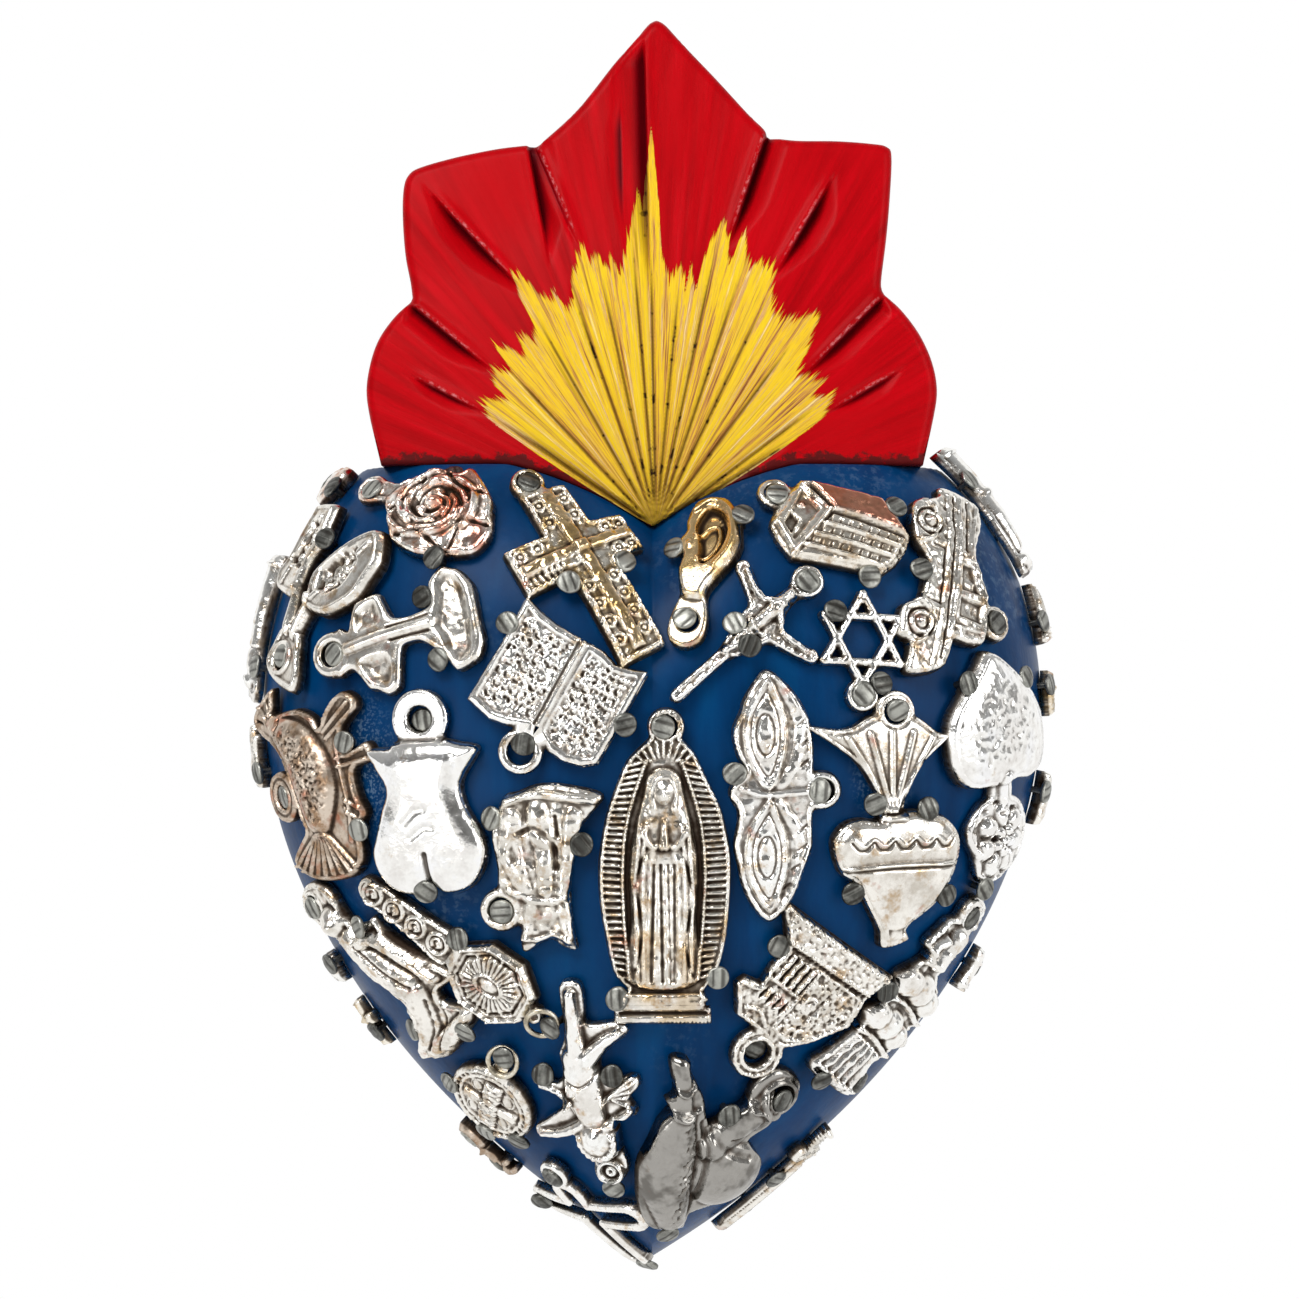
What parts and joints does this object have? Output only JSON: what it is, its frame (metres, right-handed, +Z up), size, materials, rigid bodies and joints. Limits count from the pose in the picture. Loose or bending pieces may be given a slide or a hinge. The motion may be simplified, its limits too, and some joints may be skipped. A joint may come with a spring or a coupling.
{
  "type": "milagro heart",
  "caption": "Carved, painted wooden heart with a flame, covered in small cast metal milagro charms held by nails; hangs on a wall.",
  "frame": {"origin": "centre of the hanging hole's mouth, in the flat back", "axes": "+Z up towards the flame's tip, +Y out of the flat back, towards the wall; +X to the right as seen from the front"},
  "size_m": [0.1062, 0.04, 0.1635],
  "materials": {
    "blue_painted_wood": "hand-painted deep blue, soft gloss, worn at the sides",
    "red_painted_wood": "hand-painted deep red with a yellow brushed burst",
    "cast_charm": "cast white metal, polished high spots, dark patina in the low ones",
    "ring_wire": "bright drawn wire",
    "dark_steel": "dull dark steel tacks"
  },
  "bodies": {
    "root": {"heart_body": "blue_painted_wood", "flame_crown": "red_painted_wood", "rose_charm": "cast_charm", "leaf_sprig_charm": "cast_charm", "kidneys_charm": "cast_charm", "filigree_cross_charm": "cast_charm", "open_book_charm": "cast_charm", "ear_charm": "cast_charm", "house_charm": "cast_charm", "crucifix_charm": "cast_charm", "star_charm": "cast_charm", "pickup_truck_charm": "cast_charm", "flaming_heart_charm": "cast_charm", "eyes_charm": "cast_charm", "robed_figure_charm": "cast_charm", "torso_charm": "cast_charm", "bodice_charm": "cast_charm", "fish_charm": "cast_charm", "bar_medal_charm": "cast_charm", "kneeling_figure_charm": "cast_charm", "round_medal_charm": "cast_charm", "cherub_charm": "cast_charm", "hollow_cross_charm": "cast_charm", "stomach_charm": "cast_charm", "window_house_charm": "cast_charm", "spade_charm": "cast_charm", "dancer_charm": "cast_charm", "small_heart_charm": "cast_charm", "arm_charm": "cast_charm", "hand_charm": "cast_charm", "tooth_charm": "cast_charm", "small_cross_charm": "cast_charm", "key_charm": "cast_charm", "leg_charm": "cast_charm", "praying_hands_charm": "cast_charm", "small_medal_charm": "cast_charm", "dagger_charm": "cast_charm", "small_boot_charm": "cast_charm", "small_bell_charm": "cast_charm", "bar_medal_jump_ring": "ring_wire", "round_medal_jump_ring": "ring_wire", "nails": "dark_steel"}
  },
  "joints": []
}
